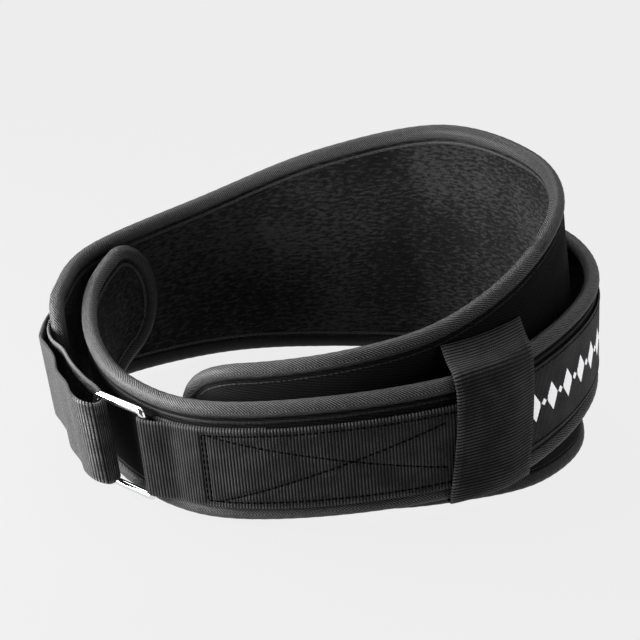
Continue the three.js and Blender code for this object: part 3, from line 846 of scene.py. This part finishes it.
def buckle_points():
    bar = front.place(RING_RIGHT)
    inner_end, outer_end = front.place(BUCKLE_INNER_END), front.place(BUCKLE_OUTER_END)
    inner = plan_line(front, inner_end + (bar + BUCKLE_TUCK - inner_end) * np.arange(6) / 5, INNER_LAYER)
    turn = [round_bar(ring_right, a) for a in (-90, -120, -150, 180, 150, 120, 90)]
    parting = OUTER_LAYER + (RING_OUT + TURN - OUTER_LAYER) * 0.62
    close = plan_line(front, np.array([bar + BUCKLE_LOOP * 0.45, bar + BUCKLE_LOOP]),
                      np.array([parting, OUTER_LAYER]))
    start = bar + BUCKLE_LOOP + BUCKLE_SETTLE
    outer = plan_line(front, start + (outer_end - start) * np.arange(10) / 9, OUTER_LAYER)
    return np.vstack([inner, turn, close, outer])


def pull_points():
    def on_pad(rows):
        return [plan_line(back, np.array(back.length - b * PULL_WEBBING), np.array(w), h * FRONT_WIDTH)
                for b, w, h in rows]

    def free(rows):
        return [[*polar(a, r), h * FRONT_WIDTH] for a, r, h in rows]

    turn = [round_bar(ring_left, a, slack, PULL_SLIP) for a, slack in PULL_TURN]
    return np.vstack([on_pad(PULL_INNER), free(PULL_TO_RING), turn, free(PULL_BACK), on_pad(PULL_OUTER)])


# Where the stitched box and cross lie on the buckle webbing, from the ring's end of the outer layer
BOX_FROM = 0.0266
BOX_EDGE = 0.003
BOX_DOUBLE = 0.0022  # between the two rows of stitches at its start
BOX_STOP = 0.004  # from its end to the end of the webbing
CROSS_RUN = 0.128
CROSS_FROM = (0.003, 0.006)
CROSS_TO = (-0.55, 0.75)  # as shares of half the box's height
GROOVE_DEPTH = 0.0008
GROOVE_HALF = 0.0012
BUCKLE_COLUMNS = 40


def buckle_length():
    line = centripetal(buckle_points(), np.linspace(0, 1, 6001))
    return along(line[:, :2])[-1]


def cross_lines(total):
    """Stitch lines on the outer layer, as pairs of points of length along and distance across."""
    start, end = total - BUCKLE_RUN + BOX_FROM, total - BOX_STOP
    half = WEBBING / 2 - BOX_EDGE
    cross_end = start + CROSS_RUN
    return [
        ((start, -half), (start, half)),
        ((start + BOX_DOUBLE, -half), (start + BOX_DOUBLE, half)),
        ((start, half), (end, half)),
        ((start, -half), (end, -half)),
        ((start + CROSS_FROM[0], half), (cross_end, half * CROSS_TO[0])),
        ((start + CROSS_FROM[1], -half), (cross_end, half * CROSS_TO[1])),
    ]


BUCKLE_RUN = front.place(BUCKLE_OUTER_END) - front.place(RING_RIGHT)


def make_buckle_band():
    points = buckle_points()
    middle = on_edge(points, WEBBING, WEB_RIB, BUCKLE_COLUMNS, slant_on_front)
    lines = cross_lines(buckle_length())

    def groove(s, v):
        depth = np.zeros_like(s)
        for (s0, v0), (s1, v1) in lines:
            ds, dv = s1 - s0, v1 - v0
            k = np.clip(((s - s0) * ds + (v - v0) * dv) / (ds**2 + dv**2), 0, 1)
            away = np.hypot(s - s0 - k * ds, v - v0 - k * dv)
            depth = np.maximum(depth, GROOVE_DEPTH * np.exp(-((away / GROOVE_HALF) ** 2)))
        return depth

    made = band("buckle_band", middle, WEB_T, WEB_RIB, 0.0002, [BUCKLE_WEB], groove)
    finish_piece(made, "webbing", "buckle_webbing")
    length = along(middle[:, BUCKLE_COLUMNS // 2])
    width = along(middle[len(middle) // 2]) - WEBBING / 2
    normal = unit(np.cross(np.gradient(middle, axis=0), np.gradient(middle, axis=1)))
    rows = []
    for (s0, v0), (s1, v1) in lines:
        k = np.linspace(0, 1, 160)
        s, v = s0 + (s1 - s0) * k, v0 + (v1 - v0) * k
        i, j = np.interp(s, length, np.arange(len(length))), np.interp(v, width, np.arange(len(width)))
        at = lambda g: bilinear(g, i, j)
        rows.append((at(middle) + at(normal) * (WEB_T / 2 - 0.0005), at(normal)))
    made = stitches("buckle_stitches", rows, DARK_THREAD, length=0.003, gap=0.0005, radius=0.0005, sink=0.0003)
    finish_piece(made, "webbing")


def bilinear(grid, i, j):
    i0 = np.clip(i.astype(int), 0, grid.shape[0] - 2)
    j0 = np.clip(j.astype(int), 0, grid.shape[1] - 2)
    a, b = (i - i0)[:, None], (j - j0)[:, None]
    return ((1 - a) * (1 - b) * grid[i0, j0] + a * (1 - b) * grid[i0 + 1, j0]
            + (1 - a) * b * grid[i0, j0 + 1] + a * b * grid[i0 + 1, j0 + 1])


def make_pull_band():
    middle = on_edge(pull_points(), PULL_WEBBING, WEB_RIB, 36)
    made = band("pull_band", middle, WEB_T, WEB_RIB, 0.00016, [PILE, PULL_WEB])
    finish_piece(made, "webbing", "pull_webbing")


def make_ring():
    half_l, half_h = (RING_LENGTH - WIRE) / 2, (RING_HEIGHT - WIRE) / 2
    corners = []
    for cx, cz, a0 in ((1, 1, 0), (-1, 1, 90), (-1, -1, 180), (1, -1, 270)):
        for a in np.radians(a0 + np.linspace(0, 90, 13)):
            corners.append((cx * (half_l - RING_CORNER) + RING_CORNER * math.cos(a),
                            cz * (half_h - RING_CORNER) + RING_CORNER * math.sin(a)))
    flat = evenly(np.array(corners + corners[:1]), 241)[:-1]
    z = RING_Z + flat[:, 1]
    skewed = flat[:, :1] + SKEW * flat[:, 1:]
    xy = (ring_left + ring_right) / 2 + skewed * ring_dir + AWAY * lean_shift(z)[:, None]
    centre = np.concatenate([xy, z[:, None]], 1)
    across = np.tile([*ring_out, 0.0], (len(centre), 1))
    made = tube("ring_wire", centre, across, WIRE / 2, along(centre)[-1], CHROME, sides=24)
    return finish_piece(made, "ring_metal", "ring")


def keeper_middle():
    """Grid of the middle surface of the keeper, from its upper seam down."""
    side = PAD / 2 + GAP + KEEPER_T / 2
    over_web = OUTER_LAYER + WEB_T / 2 + 2 * GAP + KEEPER_T / 2
    over_label = PAD / 2 + GAP + LABEL_T + LABEL_CLEAR + KEEPER_T / 2
    lines = []
    for k in np.linspace(0, 1, 37):
        sb = back.place(KEEPER_LEFT[0]) * (1 - k) + back.place(KEEPER_RIGHT[0]) * k
        sf = front.place(KEEPER_LEFT[1]) * (1 - k) + front.place(KEEPER_RIGHT[1]) * k
        e = np.clip((k - 0.6) / 0.4, 0, 1)
        over = over_web + (over_label - over_web) * e * e * (3 - 2 * e)
        seam = KEEPER_LEFT[2] * (1 - k) + KEEPER_RIGHT[2] * k
        edges = {
            "seam": back.top(sb) - BACK_WIDTH * seam,
            "back_bottom": back.bottom(sb),
            "front_top": front.top(sf),
            "front_bottom": front.bottom(sf),
        }
        rows = []
        for out, edge, up, shift in KEEPER_PROFILE:
            z = np.array(edges[edge] + up * FRONT_WIDTH)
            near = back.at(np.array(sb + shift * FRONT_WIDTH), z, np.array(side))
            far = front.at(np.array(sf + shift * FRONT_WIDTH), z, np.array(over))
            rows.append(near + (far - near) * out)
        fine = centripetal(np.array(rows), np.linspace(0, 1, 1501))
        lines.append(evenly(fine, KEEPER_RIBS * RIB_SAMPLES))
    return np.stack(lines, 1)


def make_keeper():
    middle = keeper_middle()[:, ::-1]
    made = band("keeper_band", middle, KEEPER_T, KEEPER_RIB, 0.0003, [KEEPER_WEB])
    return finish_piece(made, "elastic", "keeper")


def label_grid(columns, rows, w):
    s = np.linspace(front.place(LABEL_FROM), front.place(LABEL_TO), columns)
    up = np.linspace(-0.5, 0.5, rows)
    ss, uu = np.meshgrid(s, up, indexing="ij")
    return front.at(ss, front.middle(ss) + uu * LABEL_HEIGHT, w)


LABEL_FACE = PAD / 2 + GAP + LABEL_T  # offset of the label's outer face


def make_label():
    middle = label_grid(520, 24, PAD / 2 + GAP + LABEL_T / 2)
    made = band("label_patch", middle, LABEL_T, LABEL_RIB, 0.0001, [LABEL_WEB])
    finish_piece(made, "label_cloth", "label")
    start, end = front.place(LABEL_FROM), front.place(LABEL_TO)
    rows = []
    for edge in (-1, 1):
        s = np.arange(start + 0.001, end - 0.001, 0.0016)
        zig = LABEL_HEIGHT / 2 - 0.0012 - 0.0011 * (np.arange(len(s)) % 2)
        for a in range(len(s) - 1):
            ends = front.at(s[a:a + 2], front.middle(s[a:a + 2]) + edge * zig[a:a + 2], LABEL_FACE + 0.0001)
            out = np.concatenate([front.out(s[a:a + 2]), np.zeros((2, 1))], 1)
            rows.append((ends, out))
    zigzag = stitches("label_zigzag", rows, DARK_THREAD, length=0.0012, gap=0.0001, radius=0.0003)
    finish_piece(zigzag, "label_cloth")
    return make_marks(start, end)


# Plain woven diamonds in the middle of the label, and small squares between them
MARK_STEP = 0.0155
MARK_TALL = 0.0085
MARK_WIDE = 0.0052
MARK_SMALL = 0.0022
MARK_FIRST = 0.020


def make_marks(start, end):
    points, faces, uv = [], [], []
    n = 6
    k = 0
    at = start + MARK_FIRST
    while at < end - MARK_TALL:
        tall, wide = (MARK_TALL, MARK_WIDE) if k % 2 == 0 else (MARK_SMALL, MARK_SMALL)
        a, b = np.meshgrid(np.linspace(-1, 1, n + 1), np.linspace(-1, 1, n + 1), indexing="ij")
        ds, dz = (a + b) / 2 * wide, (a - b) / 2 * tall
        edge = np.maximum(np.abs(a), np.abs(b))
        lift = np.where(edge > 0.99, -0.0001, 0.00022)
        block = front.at(at + ds, front.middle(at + ds) + dz, LABEL_FACE + 0.0001 + lift)
        ids = np.arange((n + 1) ** 2).reshape(n + 1, n + 1) + len(points) * (n + 1) ** 2
        points.append(block.reshape(-1, 3))
        uv.append(np.stack([ds, dz], -1).reshape(-1, 2))
        faces.append(grid_faces(ids)[:, ::-1])
        at += MARK_STEP / 2
        k += 1
    made = mesh_object("label_marks", np.concatenate(points), np.concatenate(faces), np.concatenate(uv),
                       [WHITE_THREAD])
    return finish_piece(made, "label_cloth")


def make_stage():
    size = 8.0
    mesh = bpy.data.meshes.new("floor")
    corners = [(-size, -size, 0), (size, -size, 0), (size, size, 0), (-size, size, 0)]
    mesh.from_pydata(corners, [], [(0, 1, 2, 3)])
    m = bpy.data.materials.new("pale_floor")
    m.use_nodes = True
    surface = m.node_tree.nodes["Principled BSDF"]
    surface.inputs["Base Color"].default_value = (0.01, 0.01, 0.01, 1)
    surface.inputs["Emission Color"].default_value = (1, 1, 1, 1)
    surface.inputs["Emission Strength"].default_value = 0.83
    surface.inputs["Roughness"].default_value = 1.0
    surface.inputs["Specular IOR Level"].default_value = 0.0
    mesh.materials.append(m)
    floor = bpy.data.objects.new("floor", mesh)
    bpy.context.scene.collection.objects.link(floor)


def aim(obj, at, target):
    obj.location = at
    obj.rotation_mode = "QUATERNION"
    obj.rotation_quaternion = (Vector(target) - Vector(at)).to_track_quat("-Z", "Y")


def make_camera():
    data = bpy.data.cameras.new("camera")
    data.lens = LENS
    data.sensor_width = 36
    camera = bpy.data.objects.new("camera", data)
    bpy.context.scene.collection.objects.link(camera)
    aim(camera, CAMERA_AT, CAMERA_AIM)
    bpy.context.scene.camera = camera


def sun(name, at, strength, angle):
    data = bpy.data.lights.new(name, "SUN")
    data.energy = strength
    data.angle = math.radians(angle)
    light = bpy.data.objects.new(name, data)
    bpy.context.scene.collection.objects.link(light)
    aim(light, at, (0, 0, 0))


def softbox(name, at, size, power):
    data = bpy.data.lights.new(name, "AREA")
    data.shape = "RECTANGLE"
    data.size, data.size_y = size
    data.energy = power
    light = bpy.data.objects.new(name, data)
    bpy.context.scene.collection.objects.link(light)
    aim(light, at, (0, 0, 0.06))


def make_light():
    world = bpy.data.worlds.new("studio")
    world.use_nodes = True
    world.node_tree.nodes["Background"].inputs["Color"].default_value = (1, 1, 1, 1)
    world.node_tree.nodes["Background"].inputs["Strength"].default_value = 0.08
    bpy.context.scene.world = world
    softbox("key", (-0.62, -0.1, 0.2), (0.6, 0.3), 28)
    sun("top", (-0.15, 0.6, 1.0), 3.5, 50)
    sun("front_fill", (1.0, -0.7, 0.35), 1.5, 60)
    sun("back_fill", (0.9, 0.7, 1.0), 1.2, 60)
    view = bpy.context.scene.view_settings
    view.view_transform = "Standard"
    view.look = "None"


make_camera()
make_stage()
make_light()
make_pad("back_pad", back, "back_panel", 110, 26)
make_pad("front_pad", front, "front_panel", 110, 14)
make_rim("back_rim", back, "back_binding", 1500, BACK_TWILL)
make_rim("front_rim", front, "front_binding", 1400, FRONT_TWILL)
make_seams("back", back, SEAM_HALF * 0.5)
make_seams("front", front, SEAM_HALF)
make_buckle_band()
make_pull_band()
make_ring()
make_keeper()
make_label()
